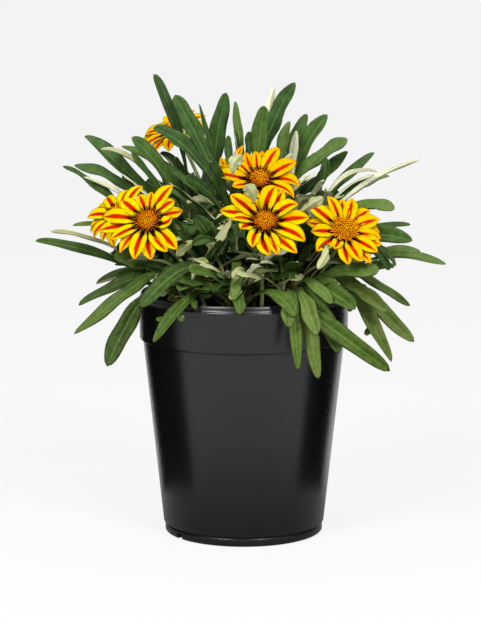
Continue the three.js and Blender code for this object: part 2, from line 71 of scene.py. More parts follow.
def add(tree, kind, inputs=(), **settings):
    """Adds a shader node with its settings and its inputs."""
    made = tree.nodes.new("ShaderNode" + kind)
    for key, value in settings.items():
        setattr(made, key, value)
    feed(tree, made, inputs)
    return made


def begin(name, **values):
    """Starts a material; values go on the shader's own sockets, underscores standing for spaces."""
    finish = bpy.data.materials.new(name)
    finish.use_nodes = True
    tree = finish.node_tree
    shader = tree.nodes["Principled BSDF"]
    feed(tree, shader, {key.replace("_", " "): value for key, value in values.items()})
    return finish, tree, shader


def as_object(name, bm, *materials):
    """Ends a bmesh as an object at the origin with its materials."""
    mesh = bpy.data.meshes.new(name)
    bm.to_mesh(mesh)
    bm.free()
    for finish in materials:
        mesh.materials.append(finish)
    made = bpy.data.objects.new(name, mesh)
    scene.collection.objects.link(made)
    return made


camera = bpy.data.cameras.new("camera")
camera.lens = 146.5
camera.clip_end = 100
eye = bpy.data.objects.new("camera", camera)
eye.location = (-0.0026, -2.0, 0.5)
eye.rotation_euler = (radians(90 - 9.18), 0, 0)
scene.collection.objects.link(eye)
scene.camera = eye

studio = bpy.data.worlds.new("studio")
studio.use_nodes = True
studio.node_tree.nodes["Background"].inputs["Color"].default_value = (0.4, 0.4, 0.4, 1)
scene.world = studio

for side, azimuth, radiance in (("left", -34, 26), ("right", 28, 25)):
    width, distance, height = 0.6, 1.7, 1.5
    box = bpy.data.lights.new("softbox_" + side, "AREA")
    box.shape, box.size, box.size_y = "RECTANGLE", width, width
    box.energy = pi * width ** 2 * radiance
    lamp = bpy.data.objects.new("softbox_" + side, box)
    a = radians(azimuth)
    lamp.location = (distance * sin(a), -distance * cos(a), height)
    aim = Vector((0, 0, 0.22)) - lamp.location
    lamp.rotation_euler = aim.to_track_quat("-Z", "Y").to_euler()
    lamp.visible_camera = False
    scene.collection.objects.link(lamp)

bm = bmesh.new()
bmesh.ops.create_circle(bm, cap_ends=True, radius=40, segments=64)
white_table, tree, shader = begin("white_table", Roughness=0.9, Specular_IOR_Level=0.1,
    Base_Color=(0.12, 0.12, 0.12, 1), Emission_Color=(1, 1, 1, 1), Emission_Strength=0.83)
table = as_object("table", bm, white_table)
table.visible_diffuse = False

# Each card is a curved strip beside the pot, from one angle to the other as seen from above.
bm = bmesh.new()
radius, height = 0.13, 0.2
for start, end in ((-120, -56), (60, 110)):
    rim = [bm.verts.new((radius * sin(radians(t)), -radius * cos(radians(t)), 0))
           for t in range(start, end + 1, 2)]
    edges = [bm.edges.new(pair) for pair in zip(rim, rim[1:])]
    top = bmesh.ops.extrude_edge_only(bm, edges=edges)["geom"]
    bmesh.ops.translate(bm, vec=(0, 0, height),
                        verts=[v for v in top if isinstance(v, bmesh.types.BMVert)])
black_card, tree, shader = begin("black_card", Roughness=1, Base_Color=(0.01, 0.01, 0.01, 1))
cards = as_object("cards", bm, black_card)

# A range with the setting SOFT starts and ends gently.
SOFT = {"interpolation_type": "SMOOTHSTEP"}
bm = bmesh.new()
bmesh.ops.create_circle(bm, cap_ends=True, radius=0.3, segments=64,
                        matrix=Matrix.Translation((0, 0, 0.4 * MM)))
floor_shade, tree, shader = begin("floor_shade", Roughness=1, Specular_IOR_Level=0,
    Base_Color=(0, 0, 0, 1))
away = add(tree, "VectorMath", [add(tree, "TexCoord").outputs["Object"]], operation="LENGTH")
fade = add(tree, "MapRange", {"Value": away.outputs["Value"], "From Min": 0.065, "From Max": 0.26,
                              "To Min": 0.68, "To Max": 0}, **SOFT)
feed(tree, shader, {"Alpha": fade})
shade = as_object("shade", bm, floor_shade)

bm = bmesh.new()
bmesh.ops.create_grid(bm, x_segments=1, y_segments=1, size=1,
                      matrix=Matrix.Translation((0, -0.3, 2.2)) @ Matrix.Rotation(pi, 4, "X"))
white_silk, tree, shader = begin("white_silk", Base_Color=(0, 0, 0, 1), Specular_IOR_Level=0,
    Emission_Color=(1, 1, 1, 1), Emission_Strength=3.5)
silk = as_object("silk", bm, white_silk)
for prop in (cards, shade, silk):
    prop.visible_camera = prop.visible_diffuse = prop.visible_shadow = False

# ---- Pot ----
# A nursery pot, one thin injection moulding in black polypropylene: a foot ring with drainage
# slots, a tapered wall, a step, a collar and a rolled rim, drained by six holes in its floor.

POT_PROFILE = [
    (0, 0), (62.2, 0), (63.2, 1), (63.2, 6.0), (62.5, 6.6), (62.8, 7.1), (64.4, 8.2), (80.3, 155.4),
    (80.6, 156.4), (82.6, 156.9), (83.0, 157.6), (83.2, 181), (83.3, 182), (83.7, 183.6),
    (83.8, 184.6), (83.8, 187.2), (84.2, 187.9), (84.2, 188.4), (83.9, 188.9), (83.5, 189.1),
    (83.1, 189.6), (82.8, 190.4), (82.5, 191.6), (82.2, 192.8), (81.9, 193.5), (81.4, 193.95),
    (80.9, 193.8), (80.7, 193.2), (80.7, 190.4), (80.2, 189.8), (80.2, 187.6), (80.9, 186.6),
    (81.3, 158), (78.7, 155), (61.8, 6.4), (60, 2.4), (0, 2.4),
]


def turned(profile, steps):
    """A closed body turned round +Z through (radius, height) points in mm."""
    bm = bmesh.new()
    points = [bm.verts.new((r * MM, 0, z * MM)) for r, z in profile]
    for pair in zip(points, points[1:]):
        bm.edges.new(pair)
    bmesh.ops.spin(bm, geom=bm.verts[:] + bm.edges[:], axis=(0, 0, 1), cent=(0, 0, 0),
                   steps=steps, angle=2 * pi, use_merge=True)
    bmesh.ops.remove_doubles(bm, verts=bm.verts, dist=1e-6)
    bmesh.ops.recalc_face_normals(bm, faces=bm.faces)
    return bm


# The corners that get a small round are the rings where the wall turns by more than 38 degrees.
bm = turned(POT_PROFILE, 160)
corners = [e for e in bm.edges if abs(e.verts[0].co.z - e.verts[1].co.z) < 1e-7
           and abs(e.verts[0].co.xy.length - e.verts[1].co.xy.length) < 1e-7
           and e.calc_face_angle(0) > radians(38)]
bmesh.ops.bevel(bm, geom=corners, offset=0.35 * MM, offset_type="OFFSET", segments=2, profile=0.5,
                affect="EDGES", material=-1, clamp_overlap=True)

# Two slots through the foot ring and six round holes in the floor, to be cut away.
cut = bmesh.new()
foot_radius, slot_size = 63.2 * MM, (16 * MM, 7 * MM, 9 * MM)
for angle in (216, 36):
    slot = bmesh.ops.create_cube(cut, size=1)["verts"]
    bmesh.ops.scale(cut, verts=slot, vec=slot_size)
    bmesh.ops.translate(cut, verts=slot, vec=(foot_radius, 0, 0))
    bmesh.ops.rotate(cut, verts=slot, cent=(0, 0, 0), matrix=Matrix.Rotation(radians(angle), 3, "Z"))
for i in range(6):
    place = Matrix.Rotation(radians(60 * i + 6), 4, "Z") @ Matrix.Translation((38 * MM, 0, 0))
    bmesh.ops.create_cone(cut, cap_ends=True, segments=24, radius1=5 * MM, radius2=5 * MM,
                          depth=12 * MM, matrix=place)

# Injection-moulded polypropylene: near black, a satin gloss with faint flow lines.
black_polypropylene, tree, shader = begin("black_polypropylene", Base_Color=linear("#0c0c0d"),
    Roughness=0.3, IOR=1.49)
where = add(tree, "TexCoord").outputs["Object"]
flow = add(tree, "Mapping", {"Vector": where, "Scale": (1, 1, 6)})
streaks = add(tree, "TexNoise", {"Vector": flow, "Scale": 90, "Detail": 3})
gloss = add(tree, "MapRange", {"Value": streaks, "To Min": 0.23, "To Max": 0.33})
feed(tree, shader, {"Roughness": gloss})

pot = as_object("pot_moulding", bm, black_polypropylene)
cutter = as_object("cutter", cut)
holes = pot.modifiers.new("holes", "BOOLEAN")
holes.object = cutter
drained = bpy.data.meshes.new_from_object(pot.evaluated_get(bpy.context.evaluated_depsgraph_get()))
pot.modifiers.clear()
bpy.data.objects.remove(cutter)
bm = bmesh.new()
bm.from_mesh(drained)
for face in bm.faces:
    face.smooth = True
for edge in bm.edges:
    edge.smooth = edge.calc_face_angle(0) < radians(32)
bm.to_mesh(pot.data)
bm.free()
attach(pot, "root")
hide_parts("pot")

# ---- Potting soil ----
# Dark peat and fine bark, filled to below the rim: a rough settled top strewn with crumbs, bark
# shreds and a few white grains of perlite.

SOIL_Z = 180
profile = [(0, 2.7), (59.2, 2.7), (61.4, 6.8), (78.2, 155), (80.6, 158.6), (80.7, 178.5)]
profile += [(r, SOIL_Z) for r in range(78, -1, -3)]
bm = turned(profile, 96)


def ground(x, y):
    """Height of the soil at a place, in mm."""
    lumps = noise.noise((x * 0.16, y * 0.16, 3)) * 1.1 + noise.noise((x * 0.5, y * 0.5, 7)) * 0.5
    return SOIL_Z + 1.1 * sin(x * 0.31) * cos(y * 0.27 + 0.4) + lumps


for v in bm.verts:
    if v.co.z > (SOIL_Z - 1) * MM:
        v.co.z = ground(v.co.x / MM, v.co.y / MM) * MM
crumb_tone = bm.verts.layers.float.new("tone")
chance = Random(5)
noise.seed_set(5)
crumbs, perlite_every, spread = 900, 36, 79
for i in range(crumbs):
    r, a = spread * sqrt(chance.random()), 2 * pi * chance.random()
    x, y = r * cos(a), r * sin(a)
    shred = chance.random() < 0.3
    size = 0.7 + 1.5 * chance.random() ** 2
    stretch = (2.6, 0.6, 0.5) if shred else (1, 0.8 + 0.4 * chance.random(), 0.75)
    turn = Matrix.Rotation(2 * pi * chance.random(), 4, "Z") @ Matrix.Rotation(
        0.5 * (chance.random() - 0.5), 4, "Y")
    place = Matrix.Translation((x * MM, y * MM, (ground(x, y) + 0.25 * size) * MM))
    made = bmesh.ops.create_icosphere(bm, subdivisions=1, radius=size * MM,
                                      matrix=place @ turn @ Matrix.Diagonal((*stretch, 1)))
    tone = 1 if i % perlite_every == 0 else 0.6 if shred else 0.15 + 0.3 * chance.random()
    for v in made["verts"]:
        v.co += noise.noise_vector(v.co * 900) * 0.22 * size * MM
        v[crumb_tone] = tone
for face in bm.faces:
    face.smooth = True


def set_stops(ramp, *stops):
    """Gives a colour ramp its stops, each a place and an sRGB hex value, from the lowest up."""
    points = ramp.color_ramp.elements
    for place, _ in stops[1:-1]:
        points.new(place)
    for point, (place, code) in zip(points, stops):
        point.position, point.color = place, linear(code)


# Damp peat and composted bark: no gloss, crumbly, brown shreds and white grains among the near-black.
damp_peat, tree, shader = begin("damp_peat", Roughness=0.95, Specular_IOR_Level=0.25)
where = add(tree, "TexCoord").outputs["Object"]
tone = add(tree, "Attribute", attribute_name="tone").outputs["Fac"]
crumb = add(tree, "TexNoise", {"Vector": where, "Scale": 1 / (2.2 * MM), "Detail": 6})
colour = add(tree, "ValToRGB", {"Fac": crumb})
set_stops(colour, (0.36, "#17100b"), (0.68, "#463425"))
bark = add(tree, "MapRange", {"Value": tone, "From Min": 0.35, "From Max": 0.7})
perlite = add(tree, "MapRange", {"Value": tone, "From Min": 0.9, "From Max": 0.95})
for share, code in ((bark, "#6a4b30"), (perlite, "#cfcabd")):
    colour = add(tree, "MixRGB", [share, colour, linear(code)])
rough = add(tree, "Bump", {"Height": crumb, "Strength": 0.8, "Distance": 0.8 * MM})
feed(tree, shader, {"Base Color": colour, "Normal": rough})

soil = as_object("soil_bed", bm, damp_peat)
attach(soil, "root")
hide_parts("soil")

# ---- Blooms ----
# Seven daisy heads on leafless stalks. Under each a green bell of overlapping bracts, then a wheel
# of pointed petals in two layers and a domed disc of small tube florets.

# Name, middle, facing, root, climb of the petals at root and tip, then each petal: angle at its
# root, angle at its tip, length from the middle, width, twist and how far its tip curls back.
BLOOMS = [
    ("front_left", (-73, -78, 259), (-0.15, -0.84, 0.52), (-30, -54), 16, -10, [
        (15, 8, 29, 9, 45, 6), (37, 36, 28, 10, 25, 3), (60, 53, 36, 11, -15, 0), (80, 79, 26, 7, 55, 0),
        (98, 102, 26, 10), (134, 131, 31, 12, 0, 2), (150, 149, 29, 9), (162, 167, 38, 12, -15, 2),
        (182, 183, 40, 10), (200, 203, 33, 9), (217, 225, 34, 10, 40, 0), (244, 250, 35, 11.5),
        (264, 271, 33, 12), (286, 295, 33, 10.5, -10, 0), (309, 306, 34, 12, 10, 0),
        (338, 360, 25, 11, -50, -4),
    ]),
    ("far_left", (-97, -34, 258), (-0.4, -0.6, 0.69), (-52, -26), 14, -20, [
        (15, 15, 27, 9), (45, 46, 35, 11), (70, 69, 30, 11), (105, 108, 29, 10), (130, 131, 30, 11),
        (150, 153, 31, 11), (172, 176, 30, 11, 0, 4), (195, 198, 29, 10, 0, 4), (222, 224, 25, 9),
        (248, 254, 33, 10), (275, 275, 28, 10), (300, 300, 26, 10), (325, 325, 26, 10),
        (350, 350, 26, 10),
    ]),
    ("upper", (12, -22, 284), (0.02, -0.68, 0.73), (8, -26), 18, 0, [
        (8, -6, 35, 12, -15, 3), (30, 30, 35, 13), (48, 49, 27, 10), (68, 66, 37, 12, 0, 2),
        (86, 86, 30, 7, 40, 0), (98, 97, 29, 8, 20, 0), (120, 110, 31, 9, 20, 0), (140, 137, 32, 9),
        (172, 173, 36, 11.5, 10, 0), (205, 203, 24, 9), (240, 243, 22, 9), (272, 272, 22, 8),
        (303, 303, 24, 9), (335, 329, 35, 11, -35, 3),
    ]),
    ("centre", (16, -84, 259), (0.05, -0.8, 0.6), (14, -56), 16, -6, [
        (11, 11, 35, 13), (42, 35, 33, 12, -20, 3), (66, 64, 32, 11), (90, 76, 35, 13, 10, 0),
        (118, 118, 24, 9), (143, 143, 36, 12), (160, 166, 37, 11, -30, 2), (172, 178, 29, 9, 35, 2),
        (190, 205, 21, 10, 25, -3), (236, 247, 27, 10), (262, 279, 32, 12), (285, 292, 32, 11),
        (306, 314, 37, 12), (337, 335, 36, 13, 12, 4),
    ]),
    ("right", (77, -66, 250), (0.12, -0.8, 0.59), (52, -40), 20, 0, [
        (8, 7, 28, 11), (27, 25, 30, 12), (50, 47, 28, 12), (78, 80, 29, 11), (97, 98, 28, 11),
        (115, 118, 33, 9.5, 25, 2), (133, 136, 27, 9), (150, 151, 36, 12), (174, 172, 31, 10),
        (192, 193, 28, 11), (222, 225, 30, 12), (248, 248, 20, 9), (272, 278, 31, 12),
        (291, 298, 32, 11), (307, 308, 35, 9), (322, 325, 33, 11), (338, 342, 31, 11),
        (353, 352, 30, 10),
    ]),
    ("back", (-55, 42, 318), (-0.4, -0.42, 0.81), (-18, 52), 12, -16, [
        (15, 15, 28, 11), (45, 45, 28, 10), (75, 75, 28, 10), (100, 100, 29, 10), (130, 130, 29, 11),
        (152, 155, 32, 12), (170, 172, 34, 13), (190, 195, 33, 12), (215, 219, 30, 11),
        (250, 250, 28, 11), (290, 290, 28, 11), (330, 332, 30, 11),
    ]),
    ("half_open", (-10, 2, 286), (-0.16, -0.1, 0.98), (-14, 8), 74, 66, [
        (4, 4, 24, 9, 0, 3), (44, 44, 31, 10, 0, 6), (84, 84, 25, 9),
        *[(a, a, 22, 8) for a in range(124, 325, 40)],
    ]),
]

UP = Vector((0, 0, 1))
GOLDEN = 137.5
STEM_FOOT = SOIL_Z - 9.7


def draws(seed):
    """Park-Miller draws between 0 and 1, as the solids use them."""
    while True:
        seed = seed * 16807 % 2147483647
        yield seed / 2147483647


def smooth(low, high, x):
    """A soft step from 0 at low to 1 at high."""
    t = min(1, max(0, (x - low) / (high - low)))
    return t * t * (3 - 2 * t)


def bezier(controls, t):
    """The place and the direction at t on a Bezier curve."""
    while len(controls) > 2:
        controls = [a.lerp(b, t) for a, b in zip(controls, controls[1:])]
    return controls[0].lerp(controls[1], t), (controls[1] - controls[0]).normalized()


def frame_at(curve, u, face, twist=0):
    """The place at u on a curve, and what is left and up there for a blade that faces face."""
    p, ahead = bezier(curve, u)
    up = (face - ahead * face.dot(ahead)).normalized()
    up.rotate(Matrix.Rotation(twist * u * u, 3, ahead))
    return p, up.cross(ahead), up


def new_skin():
    """A bmesh ready for sweeps."""
    bm = bmesh.new()
    bm.loops.layers.uv.new("surface")
    bm.verts.layers.float.new("tone")
    return bm


def sweep(bm, rings, along, tone=0.5, skins=(0, 0)):
    """Rolls a grid into a closed skin through rings of points in mm. The rings run from one edge of
    the upper side over to the other edge and back beneath. UV is the share along, then across."""
    rows, around = len(rings) - 1, len(rings[0]) - 1
    uv, shade = bm.loops.layers.uv["surface"], bm.verts.layers.float["tone"]
    made = bmesh.ops.create_grid(bm, x_segments=rows, y_segments=around, size=1)["verts"]
    spot = {v: (round((v.co.x + 1) / 2 * rows), round((v.co.y + 1) / 2 * around)) for v in made}
    for face in {f for v in made for f in v.link_faces}:
        face.smooth = True
        face.material_index = skins[sum(spot[v][1] for v in face.verts) > 2 * around]
        for loop in face.loops:
            i, j = spot[loop.vert]
            loop[uv].uv = (along[i], 1 - abs(1 - 2 * j / around))
    for v, (i, j) in spot.items():
        v.co = rings[i][j] * MM
        v[shade] = tone


def circle(middle, first, second, radius, sides):
    """A closed ring of points round middle, from the direction first towards second."""
    turns = [2 * pi * j / sides for j in range(sides + 1)]
    return [middle + (first * cos(a) + second * sin(a)) * radius for a in turns]


def ring_steps(columns):
    """The steps round a flat skin: the place across, -1 to 1, and whether it lies beneath."""
    return [(1 - abs(2 - 2 * j / columns), j > columns) for j in range(2 * columns + 1)]


def stem(bm, path, radii, sides, skin):
    """A round stem through points, closed at both ends."""
    rings, along = [], []
    for i, p in enumerate(path):
        ahead = (path[min(i + 1, len(path) - 1)] - path[max(i - 1, 0)]).normalized()
        up = (Vector((0, -1, 0)) + ahead * ahead.y).normalized()
        rings.append(circle(p, up, up.cross(ahead), radii[i], sides))
        along.append(i / (len(path) - 1))
    rings = [[path[0]] * (sides + 1), *rings, [path[-1]] * (sides + 1)]
    sweep(bm, rings, [0, *along, 1], skins=(skin, skin))


def lathe(bm, profile, sides, tone=0.5):
    """A turned skin round +Z through (radius, height) in mm, from its top to its foot."""
    rings = [[Vector((r * cos(2 * pi * j / sides), r * sin(2 * pi * j / sides), z))
              for j in range(sides + 1)] for r, z in reversed(profile)]
    sweep(bm, rings, [i / (len(rings) - 1) for i in range(len(rings))], tone)


def bract(bm, a, low, high, half):
    """A pointed green scale at angle a, from (radius, height) low to high."""
    out, beside = Vector((cos(a), sin(a), 0)), Vector((-sin(a), cos(a), 0))
    rows, columns, thick = 6, 4, 0.35
    shares, rings = [i / rows for i in range(rows + 1)], []
    for u in shares:
        p = out * (low[0] + (high[0] - low[0]) * u) + UP * (low[1] + (high[1] - low[1]) * u)
        h = half * (1 - u ** 2.2) * (0.75 + u)
        normal = (out * (high[1] - low[1]) - UP * (high[0] - low[0])).normalized()
        ring = []
        for s, under in ring_steps(columns):
            bow = 0.35 * h * (1 - s * s) - (thick if under else 0) * (1 - s * s)
            ring.append(p - beside * (s * h) + normal * bow)
        rings.append(ring)
    rings = [[rings[0][0].lerp(rings[0][columns], 0.5)] * (2 * columns + 1), *rings]
    sweep(bm, rings, [0, *shares])


def surface(tree):
    """Where a point lies on a swept skin: along it, across it, and off its midline, 0 to 1."""
    place = add(tree, "SeparateXYZ", {"Vector": add(tree, "UVMap", uv_map="surface")})
    across = add(tree, "MapRange", {"Value": place.outputs["Y"], "To Min": -1, "To Max": 1})
    off = add(tree, "Math", [across], operation="ABSOLUTE")
    return place.outputs["X"], place.outputs["Y"], off


def sine_wave(tree, value, pitch):
    """A wave over a value, for fine ribs or veins."""
    turns = add(tree, "Math", [value, pitch], operation="MULTIPLY")
    return add(tree, "Math", [turns], operation="SINE")


# Stalk and bracts: soft green, finely ribbed, an olive flush and a sheen of short pale hairs.
flower_stalk, tree, shader = begin("flower_stalk", Roughness=0.55, Sheen_Weight=0.2)
where = add(tree, "TexCoord").outputs["Object"]
across = add(tree, "SeparateXYZ", {"Vector": add(tree, "UVMap", uv_map="surface")}).outputs["Y"]
flush = add(tree, "TexNoise", {"Vector": where, "Scale": 1 / (7 * MM), "Detail": 3})
green = add(tree, "ValToRGB", {"Fac": flush})
set_stops(green, (0.35, "#6f8a47"), (0.7, "#a3a866"))
ribs = sine_wave(tree, across, 60.0)
bump = add(tree, "Bump", {"Height": ribs, "Strength": 0.35, "Distance": 0.12 * MM})
feed(tree, shader, {"Base Color": green, "Normal": bump})

# A petal's face: thin, velvety and bright yellow, a red-orange stripe from a black-brown foot to
# the tip. Fine ribs run lengthwise.
petal_face, tree, shader = begin("petal_face", Roughness=0.7, Specular_IOR_Level=0)
where = add(tree, "TexCoord").outputs["Object"]
tone = add(tree, "Attribute", attribute_name="tone").outputs["Fac"]
along, across, off = surface(tree)
streak = add(tree, "TexNoise", {"Vector": where, "Scale": 1 / (2.5 * MM), "Detail": 3})
colour = add(tree, "MixRGB", [streak, linear("#dcb401"), linear("#e1d802")])
width = add(tree, "FloatCurve", {"Value": along})
line = width.mapping.curves[0]
line.points[0].location, line.points[1].location = (0, 0.28), (1, 0.1)
for spot in ((0.2, 0.32), (0.5, 0.35), (0.8, 0.28)):
    line.points.new(*spot)
width.mapping.update()
ragged = add(tree, "Math", [streak, 0.16, off], operation="MULTIPLY_ADD")
ragged = add(tree, "Math", [ragged, 0.08], operation="SUBTRACT")
fade = add(tree, "Math", [tone, along], operation="MULTIPLY")
gap = add(tree, "Math", [fade, 0.3, ragged], operation="MULTIPLY_ADD")
gap = add(tree, "Math", [gap, width], operation="SUBTRACT")
stripe = add(tree, "MapRange", {"Value": gap, "From Min": -0.05, "From Max": 0.05, "To Min": 1,
                                "To Max": 0}, **SOFT)
core = add(tree, "MapRange", {"Value": gap, "From Min": -0.15, "From Max": -0.03, "To Min": 1,
                              "To Max": 0}, **SOFT)
red = add(tree, "MixRGB", [core, linear("#d86a02"), linear("#b52101")])
tinge = add(tree, "Math", [off, 0.12, along], operation="MULTIPLY_ADD")
tinge = add(tree, "MapRange", {"Value": tinge, "From Min": 0.86, "From Max": 1.06, "To Max": 0.55})
foot = add(tree, "Math", [off, 0.4, along], operation="MULTIPLY_ADD")
foot = add(tree, "MapRange", {"Value": foot, "From Min": 0.22, "From Max": 0.44, "To Min": 1,
                              "To Max": 0}, **SOFT)
for share, cover in ((tone, linear("#dc8a02")), (stripe, red), (tinge, linear("#d9780a")),
                     (foot, linear("#240906"))):
    colour = add(tree, "MixRGB", [share, colour, cover])
ribs = sine_wave(tree, across, 44.0)
relief = add(tree, "Math", [ribs, 0.25, streak], operation="MULTIPLY_ADD")
bump = add(tree, "Bump", {"Height": relief, "Strength": 0.4, "Distance": 0.2 * MM})
feed(tree, shader, {"Base Color": colour, "Normal": bump})

# A petal's back: a deep, plain yellow with a brown-orange band down its middle.
petal_back, tree, shader = begin("petal_back", Roughness=0.7, Specular_IOR_Level=0)
along, across, off = surface(tree)
band = add(tree, "Math", [along, 0.35, off], operation="MULTIPLY_ADD")
band = add(tree, "MapRange", {"Value": band, "From Min": 0.16, "From Max": 0.42, "To Min": 0.7,
                              "To Max": 0}, **SOFT)
backed = add(tree, "MixRGB", [band, linear("#fcc80c"), linear("#c9741a")])
ribs = sine_wave(tree, across, 44.0)
bump = add(tree, "Bump", {"Height": ribs, "Strength": 0.3, "Distance": 0.1 * MM})
feed(tree, shader, {"Base Color": backed, "Normal": bump})

# Disc florets: brown tubes with orange, pollen-dusted tops, darkest at the rim of the disc.
floret, tree, shader = begin("floret", Roughness=0.8, Specular_IOR_Level=0)
where = add(tree, "TexCoord").outputs["Object"]
along = add(tree, "SeparateXYZ", {"Vector": add(tree, "UVMap", uv_map="surface")}).outputs["X"]
tone = add(tree, "Attribute", attribute_name="tone").outputs["Fac"]
top = add(tree, "ValToRGB", {"Fac": tone})
set_stops(top, (0, "#ffc006"), (0.38, "#f48806"), (0.68, "#a85006"), (1, "#220c04"))
tube = add(tree, "MapRange", {"Value": along, "From Min": 0.3, "From Max": 0.6, "To Min": 1,
                              "To Max": 0})
tubes = add(tree, "MixRGB", [tube, top, linear("#6e2c06")])
pollen = add(tree, "TexNoise", {"Vector": where, "Scale": 1 / (0.5 * MM), "Detail": 2})
bump = add(tree, "Bump", {"Height": pollen, "Strength": 0.5, "Distance": 0.2 * MM})
feed(tree, shader, {"Base Color": tubes, "Normal": bump})

